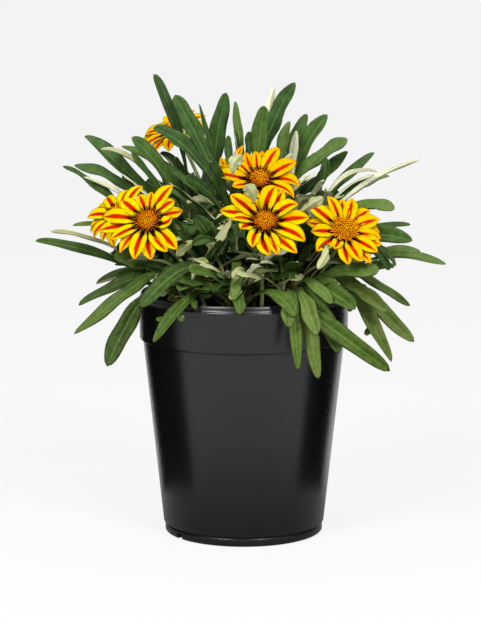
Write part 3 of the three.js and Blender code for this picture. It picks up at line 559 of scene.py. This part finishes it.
for number, (name, head, looks, root, opening, closing, listed) in enumerate(BLOOMS):
    head, looks = Vector(head), Vector(looks).normalized()
    turn = UP.rotation_difference(looks).to_matrix().to_4x4()
    stand = Matrix.Translation(head * MM) @ turn
    chance = Random(40 + number)
    opened = opening < 45
    warmth = {"upper": 0.42, "right": 0.26, "back": 0.3, "half_open": 0.4}.get(name, 0.1)

    # The bell and its two rows of bracts, in the frame of the head, then the stalk down into the soil.
    bm = new_skin()
    lathe(bm, [(0, -14.2), (1.7, -14), (3.3, -12.9), (5.2, -10.9), (6.5, -8.4), (7.3, -5.4),
               (7.7, -3.2), (7.2, -2), (5.2, -1.3), (0, -1.1)], 20)
    for row, (bracts, low, high, half) in enumerate((
            (11, (5.9, -9.6), (7.7, -4.4), 1.7), (13, (6.8, -7.4), (8.4, -1.4), 1.8))):
        for i in range(bracts):
            a = 2 * pi * (i + 0.5 * row) / bracts
            bract(bm, a, low, (high[0], high[1] + 0.6 * (chance.random() - 0.5)), half)
    bmesh.ops.transform(bm, matrix=stand, verts=bm.verts)
    neck = head - looks * 12.5
    base = Vector((*root, SOIL_Z + 2))
    halfway = Vector((*root, base.z + (neck.z - base.z) * 0.5))
    curve = [base, halfway, neck - looks * 24, neck]
    path = [Vector((*root, STEM_FOOT))] + [bezier(curve, i / 20)[0] for i in range(21)]
    stem(bm, path, [1.65 - 0.2 * i / 21 for i in range(20)] + [1.55, 1.8], 9, 0)
    bmesh.ops.remove_doubles(bm, verts=bm.verts, dist=1e-6)
    stalk = as_object("stem_" + name, bm, flower_stalk)
    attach(stalk, "root")
    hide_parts("stalk_" + name)

    # The petals, by turns in an upper and a lower layer. Each starts under the disc, bends from its
    # opening to its closing angle, and is a thin closed skin, its back beneath.
    bm = new_skin()
    drawn = draws(11 + number)
    rows, columns, thick, underlap = 16, 8, 0.3, 4.6
    for i, (angle, tip, reach, width, *more) in enumerate(listed):
        before, after = listed[i - 1][0], listed[(i + 1) % len(listed)][0]
        sector = radians(min((angle - before) % 360, (after - angle) % 360))
        layer = 1 if i % 2 else -1
        apart = 0.65 * layer
        start = 9 if opened else 7.6
        length = reach - start
        heading = radians(angle + (tip - angle) * 2 * reach / length)
        angle = radians(angle)
        rise = radians(opening + 2.5 * layer)
        end = radians(closing + 10 * (next(drawn) - 0.5))
        lean = radians(10 * (next(drawn) - 0.5))
        out = Vector((cos(angle), sin(angle), 0))
        first = out * (start - apart * sin(rise)) + UP * (apart * cos(rise))
        mid = first + (out * cos(rise) + UP * sin(rise)) * length / 2
        on = Vector((cos(heading), sin(heading), 0))
        curve = [first, mid, mid + (on * cos(end) + UP * sin(end)) * length / 2]
        face = UP.copy() if opened else -out
        face.rotate(Matrix.Rotation(lean, 3, out if opened else UP))
        channel = 0.2 + 0.22 * chance.random()
        twist, hook = more or (0, 0)
        twist = radians(twist + 24 * (chance.random() - 0.5))
        bend = 2 * (chance.random() - 0.5)
        hook += 1.6 * (chance.random() - 0.3)
        broad = 0.5 * width + 0.3 * chance.random()
        narrow = 0.46 * sector * start
        rings, along = [], []
        for row in range(-2, rows + 1):
            u = max(0, row / rows)
            p, left, up = frame_at(curve, u, face, twist)
            if row < 0:
                p = first + (out * underlap - UP * 0.1 - first) * (-row / 2)
            h = narrow + (broad - narrow) * smooth(-0.15, 0.36, u)
            h *= 1 - max(0, (u - 0.56) / 0.44) ** 2.1
            h = h if -2 < row < rows else 0
            p += left * (bend * u * u)
            ring = []
            for s, under in ring_steps(columns):
                z = h * channel * abs(s) ** 1.4 + 0.09 * h * abs(sin(pi * 2 * s)) - hook * u ** 4
                if under:
                    z -= thick * (1 - abs(s) ** 6) * min(1, h)
                ring.append(p + left * (s * h) + up * z)
            rings.append(ring)
            along.append(u)
        sweep(bm, rings, along, min(1, max(0, warmth + 0.3 * (chance.random() - 0.5))), (0, 1))
    bmesh.ops.remove_doubles(bm, verts=bm.verts, dist=1e-6)
    bmesh.ops.transform(bm, matrix=stand, verts=bm.verts)
    petals = as_object("petals_" + name, bm, petal_face, petal_back)
    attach(petals, "root")
    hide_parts("rays_" + name)

    # The disc: a low dome, its florets set one golden angle apart, and dark spikes at its rim. The
    # right bloom's rim is hardly darker. The half-open disc is half as large, without spikes.
    bm = new_skin()
    lathe(bm, [(0, 0.9), (4, 0.9), (8.2, 2), (8.7, 2.8), (8.1, 3.6), (6.2, 4.4), (3, 5), (0, 5.2)],
          24, 1)
    florets, spikes = (120, 84) if opened else (60, 0)
    rim_tone = 0.2 if name == "right" else 1
    dome_radius, dome_top, spike_foot = 7.9, 4.9, 3.4
    for i in range(florets):
        r, a = dome_radius * sqrt((i + 0.5) / florets), radians(i * GOLDEN)
        axis = Vector((cos(a) * r * 0.09, sin(a) * r * 0.09, 1)).normalized()
        at = Vector((r * cos(a), r * sin(a), dome_top - 1.5 * (r / 8) ** 2.4))
        edge = rim_tone * smooth(6.2, 8, r + 1.4 * (chance.random() - 0.5))
        tall = 1.1 + 1.3 * chance.random()
        fat = 0.44 + 0.16 * chance.random()
        side, front = axis.orthogonal().normalized(), axis.cross(axis.orthogonal()).normalized()
        shape = ((0, 0), (0.02, 0.7), (0.4, 0.75), (0.7, 1.15), (1, 0))
        rings = [circle(at + axis * (tall * share), front, side, fat * wide, 6)
                 for share, wide in shape]
        # The tone rises from the middle of the disc to its rim: the florets' own colour, and in the
        # lighter middle also a painted highlight.
        tone = 0.3 * chance.random() + 0.2 * smooth(2.5, 6.5, r) * rim_tone + 0.5 * edge
        sweep(bm, rings, [share for share, _ in shape], tone)
    for i in range(spikes):
        a = 2 * pi * (i + 0.7 * chance.random()) / spikes
        out, beside = Vector((cos(a), sin(a), 0)), Vector((-sin(a), cos(a), 0))
        length = 2.2 + 3.4 * chance.random() ** 1.5
        lift = 0.8 + 2.4 * chance.random()
        start = 6.8 + 1.2 * chance.random()
        tone = rim_tone if i % 3 else 0.4 + 0.3 * chance.random()
        rings = []
        for share, wide in ((0, 0), (0.05, 0.28), (0.6, 0.26), (0.85, 0.34), (1, 0)):
            p = out * (start + length * share) + UP * (spike_foot + lift * share)
            rings.append(circle(p, UP, -beside, wide, 4))
        sweep(bm, rings, [1, 1, 1, 1, 1], tone)
    bmesh.ops.remove_doubles(bm, verts=bm.verts, dist=1e-6)
    if not opened:
        bmesh.ops.scale(bm, vec=(0.5, 0.5, 0.5), verts=bm.verts)
        bmesh.ops.translate(bm, vec=(0, 0, 0.45 * MM), verts=bm.verts)
    bmesh.ops.transform(bm, matrix=stand, verts=bm.verts)
    disc = as_object("florets_" + name, bm, floret)
    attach(disc, "root")
    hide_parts("disc_" + name)

# ---- Leafy shoots ----
# Short stems out of the soil, each with a rosette of strap leaves: green and smooth above, pale
# felt beneath, a light midrib, the edges rolled a little under. Some lower leaves are lobed.

# The rim's height, how far out leaves cross it, and the width from which the solids fold a leaf.
RIM_Z, EDGE, FOLDED_WIDTH = 194, 85.7, 13.5
# Name, crown, number of seeded leaves, the angle of the first, their reach and climb, and the listed
# leaves: tip x, y, z, arch, width, turn of the upper side to the front, then for some the pairs of
# side lobes, the bow to the right and the bow to the front.
SHOOTS = [
    ("left_front", (-42, -38, 200), 5, 200, 46, 30, [
        (-129, -45, 189, 27, 11, 0.4), (-131, -72, 171, 44, 11, 0.5),
        (-105, -84, 148, 28, 15, 0.6, 0, -18), (-101, -40, 228, 8, 14, 0.8),
        (-68, -88, 208, 10, 12, 0.6), (-49, -92, 208, 12, 11, 0.6)]),
    ("front", (-6, -44, 200), 8, 240, 44, 36, [
        (-79, -98, 184, 34, 13, 0.5), (-69, -99, 163, 22, 9, 0.5, 2, -4), (-42, -88, 223, 10, 11, 0.5),
        (-3, -94, 190, 14, 9, 0.6), (12, -84, 226, 8, 7, -0.6), (39, -97, 189, 16, 11, 0.5)]),
    ("right_front", (33, -42, 203), 5, 290, 46, 36, [
        (112, -88, 139, 10, 14, 0.6, 0, -24, 30), (45, -96, 141, 22, 9, 0.5, 0, 0, 8),
        (57, -90, 133, 26, 12, 0.5, 0, 0, 8), (56, -104, 170, 20, 13, 0.6, 0, 0, 4),
        (34, -99, 175, 18, 12, 0.6, 0, 0, 4), (73, -88, 147, 16, 13, 0.4, 0, 0, 6),
        (85, -94, 188, 16, 16, 0.6), (103, -84, 222, 12, 14, 0.5), (67, -92, 186, 16, 10, 0.4)]),
    ("right", (56, -8, 206), 7, 340, 60, 40, [
        (118, -44, 139, 24, 11, 0.5, 2, 2), (134, -32, 152, 32, 12, 0.5), (112, -54, 186, 16, 11, 0.4),
        (131, -28, 186, 31, 7, 0.4), (117, -45, 219, 12, 9, 0.4), (160, -12, 217, 30, 9, 0.4),
        (139, -28, 228, 22, 9, 0.3)]),
    ("left", (-56, -2, 208), 6, 170, 60, 38, [
        (-143, -5, 294, 24, 11, 0.4), (-165, -8, 235, 15, 9, 0.6), (-154, 10, 240, 20, 6, -0.5),
        (-135, -15, 248, 30, 10, 0.3), (-101, -40, 229, 8, 11, 0.4)]),
    ("middle", (0, -6, 236), 9, 230, 58, 46, [
        (-54, 2, 350, 4, 13, 0.7), (-71, -15, 325, 32, 12, 0.5), (-45, -45, 290, 18, 10, 0.6),
        (-17, -40, 304, 4, 9, 0.7), (-97, 5, 309, 24, 11, 0.3), (-2, -74, 211, 26, 8, 0.6),
        (15, -88, 200, 26, 10, 0.6), (-34, 8, 343, 2, 6, 0.3, 0, -8)]),
    ("left_high", (-42, 8, 238), 7, 150, 60, 44, [
        (-71, 4, 366, 10, 11, 0.5, 0, 12), (-88, -18, 318, 6, 13, 0.6, 0, 9),
        (-126, -10, 286, 14, 6, -0.6), (-135, 10, 293, 20, 12, 0.4), (-127, 15, 316, 4, 14, 0.5),
        (-113, 0, 307, 34, 6, -0.6), (-88, -25, 307, 6, 10, 0.4)]),
    ("right_high", (44, 12, 232), 8, 0, 62, 42, [
        (133, -14, 236, 22, 13, 0.8), (133, 8, 246, 12, 7, 0.3), (104, 14, 303, 4, 11, 0.5, 0, -6),
        (140, 0, 299, 18, 6, -0.6), (106, -10, 290, 38, 6, -0.5), (116, 5, 284, 20, 10, 0.3),
        (118, -25, 262, 32, 12, 0.4)]),
    ("top", (6, 24, 242), 8, 60, 56, 60, [
        (24, 30, 354, 3, 8, -0.8), (41, 25, 358, 2, 13, 0.7, 0, -12), (16, 6, 341, 2, 13, 0.8),
        (-7, 26, 343, 6, 7, -0.6), (82, 0, 315, 18, 13, 0.5), (-8, 14, 321, 3, 8, 0.4)]),
    ("back_left", (-26, 40, 226), 8, 80, 66, 52, [
        (-14, 38, 349, 3, 13, 0.8, 0, -9), (-55, 8, 300, 6, 9, 0.5)]),
    ("back_right", (32, 36, 226), 7, 20, 66, 50, [
        (83, 12, 304, 8, 12, 0.5, 0, -7), (63, -30, 286, 6, 9, 0.4), (37, 15, 328, 3, 10, 0.6, 0, -10),
        (51, 35, 332, 3, 12, 0.6, 0, -15), (67, 30, 332, 3, 12, 0.6, 0, -14),
        (42, 20, 320, 3, 7, -0.7)]),
    ("far_left", (-50, 44, 204), 9, 150, 76, 42, []),
    ("far_middle", (2, 58, 204), 11, 90, 74, 46, []),
    ("far_right", (52, 44, 204), 9, 30, 76, 42, []),
]
# Small leaves that stand among the flowers, by shoot: control points, width, and 1 where the green
# side looks to the front, -1 where the felt does.
SPRIGS = {
    "middle": [
        ([(-8, -42, 291), (-9, -45, 295), (-8, -47, 301), (-2, -47, 307)], 10, -1),
        ([(6, -84, 274), (9, -88, 277), (7, -93, 283), (1, -93, 289)], 10, -1),
        ([(40, -70, 264), (46, -80, 268), (52, -88, 273), (60, -88, 279)], 8, -1),
        ([(-6, 0, 268), (-10, 6, 290), (-14, 9, 303), (-12, 10, 317)], 6, 1),
        ([(-4, 6, 266), (2, 12, 290), (6, 14, 306), (4, 14, 320)], 6, 1),
        ([(-22, -46, 236), (-34, -58, 244), (-44, -62, 240), (-52, -60, 230)], 8, -1),
        ([(-10, -44, 232), (-20, -60, 244), (-30, -66, 246), (-40, -66, 240)], 7, 1),
    ],
    "front": [
        ([(-10, -46, 208), (-26, -66, 226), (-34, -74, 226), (-40, -76, 214)], 7, -1),
        ([(0, -48, 206), (2, -72, 222), (-2, -82, 226), (-8, -84, 216)], 8, -1),
        ([(-16, -44, 206), (-46, -60, 216), (-58, -66, 212), (-64, -68, 200)], 8, -1),
    ],
    "right": [
        ([(50, -30, 222), (70, -72, 252), (66, -92, 242), (56, -96, 225)], 8, -1),
        ([(56, -20, 215), (90, -50, 245), (105, -58, 240), (112, -60, 219)], 7, 1),
        ([(56, -20, 215), (92, -50, 246), (110, -58, 240), (117, -60, 222)], 4, 1),
    ],
    "right_high": [
        ([(52, 0, 256), (58, -4, 276), (66, -6, 290), (64, -6, 301)], 7, 1),
    ],
}
# Leaves that hang a little aside of their solids, clear of a petal: tip, and its shift in mm.
ASIDE = {(-17, -40, 304): (-8, 8, -2)}
# Ways for a leaf to give way to its neighbours: swing in degrees and lift in mm.
GIVES = [
    (0, 0), (4, 0), (-4, 0), (0, 6), (8, 0), (-8, 0), (4, 6), (-4, 6), (0, 12), (12, 6), (-12, 6),
    (16, 0), (-16, 0), (8, 12), (-8, 12), (0, -8), (20, 6), (-20, 6), (0, 22), (12, -8), (-12, -8),
    (26, 10), (-26, 10), (16, 22), (-16, 22), (34, 4), (-34, 4),
]


def leaf_curve(start, leaf, give):
    """A leaf that ends below the rim bends over it; any other is one plain arch."""
    x, y, z, arch = leaf[:4]
    reach = Vector((x - start.x, y - start.y, 0))
    reach.rotate(Matrix.Rotation(radians(give[0]), 3, "Z"))
    tip = Vector((start.x + reach.x, start.y + reach.y, z + give[1]))
    if z < RIM_Z and hypot(tip.x, tip.y) > EDGE + 4:
        b = start.xy.dot(reach.xy) / reach.length_squared
        c = (start.xy.length_squared - EDGE ** 2) / reach.length_squared
        rim = start + reach * (sqrt(b * b - c) - b)
        low = start.lerp(rim, 0.62)
        low.z = max(start.z, RIM_Z) + arch + give[1]
        high = rim + reach.normalized() * 3
        high.z = max(RIM_Z - 1, z + arch) + give[1]
    else:
        mid = start.lerp(tip, 0.45)
        mid.z = (start.z + tip.z) / 2 + arch + give[1]
        low, high = start.lerp(mid, 2 / 3), tip.lerp(mid, 2 / 3)
    right, front = (*leaf[7:], 0, 0)[:2]
    bow = Vector((right, -front, 0))
    return [start, low + bow, high + bow, tip]


def leaf_face(curve, turn):
    """The direction that a leaf's upper side looks in."""
    inward = (curve[0] - curve[-1]) * Vector((1, 1, 0))
    face = inward.normalized() * 0.5 + UP
    return face.normalized() * (1 - abs(turn)) + Vector((0, -turn, 0))


def stood(solids, start, leaf):
    """The give that this leaf took in the solids, or None where it was left out."""
    best, width = (2, None), leaf[4]
    half_thick, near = 0.35, 0.06 * MM
    for give in GIVES:
        curve, hits = leaf_curve(start, leaf, give), 0
        face = leaf_face(curve, leaf[5])
        for u, half, rise in ((0.86, width * 0.49, width * 0.15), (1, 0, 0)):
            p, left, up = frame_at(curve, u, face)
            if width < FOLDED_WIDTH:
                rise = 0
            for s in (half, -half):
                for t in (half_thick, -half_thick):
                    hits += solids.find((p + left * s + up * (rise + t)) * MM)[2] < near
        best = max(best, (hits, give), key=lambda pair: pair[0])
    return best[1]


def clear_of_blooms(curve):
    """Whether a leaf leaves every flower head free, and from the front the sight of the first five."""
    sight, around_head, around_sight = Vector((0, 0.987, -0.16)), 34, 33
    for p in (bezier(curve, i / 12)[0] for i in range(3, 13)):
        for number, (_, head, looks, *_) in enumerate(BLOOMS):
            away, axis = p - Vector(head), Vector(looks).normalized()
            ahead = away.dot(axis)
            if -10 < ahead < 20 and (away - axis * ahead).length < around_head:
                return False
            aside = (away - sight * away.dot(sight)).length
            if number < 5 and away.y < 0 and aside < around_sight:
                return False
    return True


def blade(bm, curve, face, half, ridge, chance, tone, rows=22, columns=8, most=20):
    """One leaf blade along a curve: half(u) is its half width, ridge(u) its midrib's depth, and
    most the degrees that its tip may turn. It folds up along the midrib and rolls at the edges."""
    fold = 0.45 + 0.5 * chance.random()
    roll = 0.2 + 0.35 * chance.random()
    twist = radians(most) * (2 * chance.random() - 1)
    sway = (curve[-1] - curve[0]).length * 0.0022 * most * (chance.random() - 0.5)
    waves = 1.6 + 2 * chance.random()
    phases = 2 * pi * chance.random(), 2 * pi * chance.random()
    thick = 0.42
    rings, along = [], []
    for i in range(rows + 1):
        u = 1 - (1 - i / rows) ** 1.35
        p, left, up = frame_at(curve, u, face, twist)
        p += left * (sway * sin(pi * u))
        h = half(u) if 0 < i < rows else 0
        ring = []
        for s, under in ring_steps(columns):
            ripple = 0.15 * s * s * sin(2 * pi * waves * u + phases[s > 0])
            edge = 1 + 0.1 * sin(2 * pi * 1.3 * waves * u + phases[s < 0])
            z = h * ((fold * abs(s) - roll * abs(s) ** 3) * smooth(0.15, 0.5, u) + ripple)
            if under:
                z -= thick * (1 - abs(s) ** 6) * min(1, h)
                z -= ridge(u) * exp(-(s * h) ** 2) * (1 - s * s) * min(1, h)
            ring.append(p + left * (s * h * edge) + up * z)
        rings.append(ring)
        along.append(u)
    sweep(bm, rings, along, tone, (0, 1))


def grow_leaf(bm, curve, face, width, chance, lobes=0, most=20, may_turn=False, painted_shade=False):
    """A whole leaf: its stalk, its blade, and its side lobes if it has any. A leaf that may turn shows
    its green side to the front; low at the back, a steep one shows it to the back instead. Leaves inside
    the clump, and those at its left middle, are darker: a painted shade. Low ones away from the left,
    and ones at the far right, are a lighter, fresher green: partly their own colour, partly a painted
    light from the right."""
    tip, ahead = curve[-1], bezier(curve, 0.6)[1]
    front = (face - ahead * face.dot(ahead)).y
    low_at_back, steep = tip.y > 30 and tip.z < 268, 0.35
    if may_turn and (front < -steep if low_at_back else front > 0):
        face = -face
    slim, widest = 0.04 + 0.3 * chance.random(), 0.7 + 0.12 * chance.random()
    blunt = 2 + 0.7 * chance.random()

    def half(u):
        spread = smooth(slim, widest, u) ** 1.3
        end = max(0, 1 - ((u - widest) / (1 - widest)) ** blunt) ** 0.52 if u > widest else 1
        return 1.25 * (1 - spread) + 0.53 * width * spread * end

    # Low leaves away from the left and leaves at the far right are lighter: partly their own fresher
    # green, partly a painted light from the right.
    fresh_and_lit = smooth(230, 170, tip.z) * smooth(-60, 30, tip.x) + 1.6 * smooth(80, 120, tip.x)
    # Leaves inside the clump and at its left middle are darkened: a painted shade.
    painted_shade = painted_shade or -72 < tip.x < -8 and tip.z > 225
    tone = min(0.75, 0.02 + 0.62 * chance.random() + 0.12 * fresh_and_lit) * (0.3 if painted_shade else 1)
    blade(bm, curve, face, half, lambda u: 1.5 * (1 - u) ** 1.3 + 0.12, chance, tone, most=most)
    for i in range(2 * lobes):
        at, ahead = bezier(curve, 0.5 + 0.1 * i)
        side = ahead.cross(face).normalized() * (1 if i % 2 else -1)
        lobe = (ahead * 0.6 + side * 0.8) * (15 - 1.5 * i)
        blade(bm, [at, at + lobe * 0.5 + ahead, at + lobe], face,
              lambda u: 1.2 + 1.7 * smooth(0, 0.6, u) * sqrt(1 - max(0, (u - 0.6) / 0.4) ** 2),
              lambda u: 0.3 * (1 - u), chance, tone, rows=8, columns=4)


# The upper side of a gazania leaf: smooth and waxy, blue-green high up and fresher green low down,
# with a pale midrib, faint side veins and a thin light edge.
leaf_upper, tree, shader = begin("leaf_upper", Roughness=0.48, Specular_IOR_Level=0.13)
where = add(tree, "TexCoord").outputs["Object"]
tone = add(tree, "Attribute", attribute_name="tone").outputs["Fac"]
along, _, off = surface(tree)
mottle = add(tree, "TexNoise", {"Vector": where, "Scale": 1 / (6 * MM), "Detail": 6, "Roughness": 0.62})
# The tone darkens the upper side; for leaves inside the clump it carries a painted shade.
age = add(tree, "Math", [mottle, 1.1, tone], operation="MULTIPLY_ADD")
age = add(tree, "Math", [age, 0.73], operation="SUBTRACT")
# Each blade is darker towards its foot and lighter towards its tip: a painted shade on the lower halves
# and a painted light on the tips.
painted_light_to_tip = add(tree, "MapRange", {"Value": along, "From Min": 0.15, "From Max": 0.75, "To Max": 0.28})
age = add(tree, "Math", [age, painted_light_to_tip], operation="ADD")
colour = add(tree, "ValToRGB", {"Fac": age})
set_stops(colour, (0, "#122502"), (0.26, "#2f4e0c"), (0.62, "#56712a"), (1, "#7a8b47"))
height = add(tree, "SeparateXYZ", {"Vector": where}).outputs["Z"]
height = add(tree, "MapRange", {"Value": height, "From Min": 170 * MM, "From Max": 320 * MM})
tint = add(tree, "ValToRGB", {"Fac": height})
set_stops(tint, (0, "#3e4608"), (1, "#476243"))
taper = add(tree, "MapRange", {"Value": along, "From Min": 0.3, "From Max": 1.0, "To Min": 0.16,
                               "To Max": 0.03})
rib = add(tree, "Math", [off, taper], operation="SUBTRACT")
rib = add(tree, "MapRange", {"Value": rib, "From Min": -0.05, "From Max": 0.05, "To Min": 0.26,
                             "To Max": 0}, **SOFT)
slant = add(tree, "Math", [off, -0.09, along], operation="MULTIPLY_ADD")
veins = add(tree, "MapRange", {"Value": sine_wave(tree, slant, 150.0), "From Min": 0.55,
                               "From Max": 1, "To Max": 0.14})
edge = add(tree, "MapRange", {"Value": off, "From Min": 0.9, "From Max": 1.0, "To Max": 0.55})
foot = add(tree, "MapRange", {"Value": along, "From Min": 0.02, "From Max": 0.26, "To Min": 0.8,
                              "To Max": 0}, **SOFT)
for share, cover in ((0.28, tint), (rib, linear("#7d9a52")), (veins, linear("#5f8140")),
                     (edge, linear("#77954e")), (foot, linear("#aaa45c"))):
    colour = add(tree, "MixRGB", [share, colour, cover])
fine = add(tree, "TexNoise", {"Vector": where, "Scale": 1 / (0.8 * MM), "Detail": 3})
relief = add(tree, "Math", [rib, -0.8, fine], operation="MULTIPLY_ADD")
relief = add(tree, "Math", [veins, -0.9, relief], operation="MULTIPLY_ADD")
bump = add(tree, "Bump", {"Height": relief, "Strength": 0.5, "Distance": 0.22 * MM})
feed(tree, shader, {"Base Color": colour, "Normal": bump})

# The underside: a mat of fine silver hairs over the leaf, so a dull cream felt with a soft nap.
leaf_felt, tree, shader = begin("leaf_felt", Roughness=0.95, Specular_IOR_Level=0.2,
    Sheen_Weight=0.12, Sheen_Roughness=0.6)
where = add(tree, "TexCoord").outputs["Object"]
tone = add(tree, "Attribute", attribute_name="tone").outputs["Fac"]
along, _, off = surface(tree)
nap = add(tree, "TexNoise", {"Vector": where, "Scale": 1 / (0.7 * MM), "Detail": 5})
colour = add(tree, "ValToRGB", {"Fac": nap})
set_stops(colour, (0.3, "#ccd0a2"), (0.62, "#f8f8e2"))
# Felt of low tone is a darker, greener cream: on leaves in painted shade this is a painted shade, on the
# rest their own colour.
greener_felt_and_shade = add(tree, "MapRange", {"Value": tone, "From Min": 0.05, "From Max": 0.3, "To Min": 0.8,
                               "To Max": 0.1})
rib = add(tree, "MapRange", {"Value": off, "From Min": 0.04, "From Max": 0.16, "To Min": 0.7,
                             "To Max": 0}, **SOFT)
foot = add(tree, "MapRange", {"Value": along, "From Min": 0.05, "From Max": 0.45, "To Min": 1,
                              "To Max": 0}, **SOFT)
for share, code in ((greener_felt_and_shade, "#a3a75a"), (rib, "#9fa95e"), (foot, "#aaa45c")):
    colour = add(tree, "MixRGB", [share, colour, linear(code)])
bump = add(tree, "Bump", {"Height": nap, "Strength": 0.35, "Distance": 0.2 * MM})
feed(tree, shader, {"Base Color": colour, "Normal": bump})

# The short stems: green-brown and slightly woody, streaked lengthwise.
shoot_stem, tree, shader = begin("shoot_stem", Roughness=0.7)
where = add(tree, "TexCoord").outputs["Object"]
grain = add(tree, "Mapping", {"Vector": where, "Scale": (1, 1, 0.15)})
bark = add(tree, "TexNoise", {"Vector": grain, "Scale": 1 / (0.8 * MM), "Detail": 4})
woody = add(tree, "ValToRGB", {"Fac": bark})
set_stops(woody, (0.35, "#665a34"), (0.65, "#a39a56"))
bump = add(tree, "Bump", {"Height": bark, "Strength": 0.5, "Distance": 0.3 * MM})
feed(tree, shader, {"Base Color": woody, "Normal": bump})

for number, (name, crown, seeded, first, reach, climb, listed) in enumerate(SHOOTS):
    # The leaves of the solids: the listed ones, and seeded ones a golden angle apart.
    x, y, z = crown
    drawn = draws(101 + number)
    leaves = list(listed)
    for i in range(seeded):
        a = radians(first + i * GOLDEN)
        far = reach * (0.55 + 0.6 * next(drawn))
        rise = climb * (1.9 * next(drawn) - 0.4)
        width = 9.5 + 3 * next(drawn)
        arch = 10 + 12 * next(drawn)
        leaves.append((x + far * cos(a), y + far * sin(a), z + rise, arch, width,
                       0.3 * (next(drawn) - 0.5)))
    leafy, off_middle = 24, 1.2
    low = Vector((x, y, max(SOIL_Z + 4, z - leafy)))
    pitch = (z - low.z) / (len(leaves) + 1)
    order = sorted((leaf[2] for leaf in leaves), reverse=True)
    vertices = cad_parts["shoot_" + name].data.vertices
    solids = KDTree(len(vertices))
    for v in vertices:
        solids.insert(v.co, v.index)
    solids.balance()

    # Each leaf grows where its solid stands, the highest from the top of the stem.
    chance = Random(number)
    bm = new_skin()
    for leaf in leaves:
        out = Vector((leaf[0] - x, leaf[1] - y, 0)).normalized() * off_middle
        start = out + Vector((x, y, z - pitch * order.index(leaf[2])))
        give = stood(solids, start, leaf)
        if give is None:
            continue
        curve = leaf_curve(start, leaf, give)
        for p, share in zip(curve, (0, 0.3, 0.8, 1)):
            p += Vector(ASIDE.get(leaf[:3], (0, 0, 0))) * share
        grow_leaf(bm, curve, leaf_face(curve, leaf[5]), leaf[4], chance,
                  lobes=(*leaf[6:], 0)[0],
                  may_turn=leaf[:2] == (-7, 26) or leaf not in listed and chance.random() < 0.8)
    for controls, width, side in SPRIGS.get(name, ()):
        curve = [Vector(p) for p in controls]
        # Sprigs take the painted shade of leaves inside the clump.
        grow_leaf(bm, curve, Vector((0, -side, 0.35)), width, chance, painted_shade=True)

    # Small inner leaves that fill the clump, as many as find room within an egg-shaped bound: its
    # half width, half thickness and half height, and the height of its middle.
    tries, room, grown = 90, 32, 0
    wide, thick, tall, middle = 116, 96, 125, 205
    span, drop = (86, 8) if z < 220 else (80, 30)
    for i in range(tries):
        a = radians(first + 60 + i * GOLDEN)
        far = 24 + 46 * chance.random()
        rise = span * chance.random() - drop
        turn = 0.1 + 0.5 * chance.random() if y < 10 else 0.4 * (chance.random() - 0.5)
        leaf = (x + far * cos(a), y + far * sin(a), z + rise, 6 + 16 * chance.random(),
                9 + 4 * chance.random(), turn)
        start = Vector((x, y, z - 20 * chance.random()))
        start += Vector((cos(a), sin(a), 0)) * off_middle
        from_middle = (leaf[0] / wide) ** 2 + (leaf[1] / thick) ** 2 + ((leaf[2] - middle) / tall) ** 2
        curve = leaf_curve(start, leaf, (0, 0))
        if grown < room and from_middle < 1 and clear_of_blooms(curve):
            curly = chance.random() < 0.4
            # Fill leaves take the painted shade of leaves inside the clump.
            grow_leaf(bm, curve, leaf_face(curve, turn), leaf[4], chance,
                      most=110 if curly else 40, may_turn=not curly, painted_shade=True)
            grown += 1

    # The stem leans out a little from its foot in the soil.
    foot = Vector((x * 0.9, y * 0.9, STEM_FOOT))
    ground_at = Vector((foot.x, foot.y, SOIL_Z + 1.5))
    stem(bm, [foot, ground_at, ground_at.lerp(low, 0.5), low, Vector((x, y, z - 3)),
              Vector((x, y, z + 1.5))], [3.1, 3.1, 3.0, 3.0, 2.8, 2.4], 10, 2)
    bmesh.ops.remove_doubles(bm, verts=bm.verts, dist=1e-6)
    shoot = as_object("leaves_" + name, bm, leaf_upper, leaf_felt, shoot_stem)
    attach(shoot, "root")
    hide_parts("shoot_" + name)
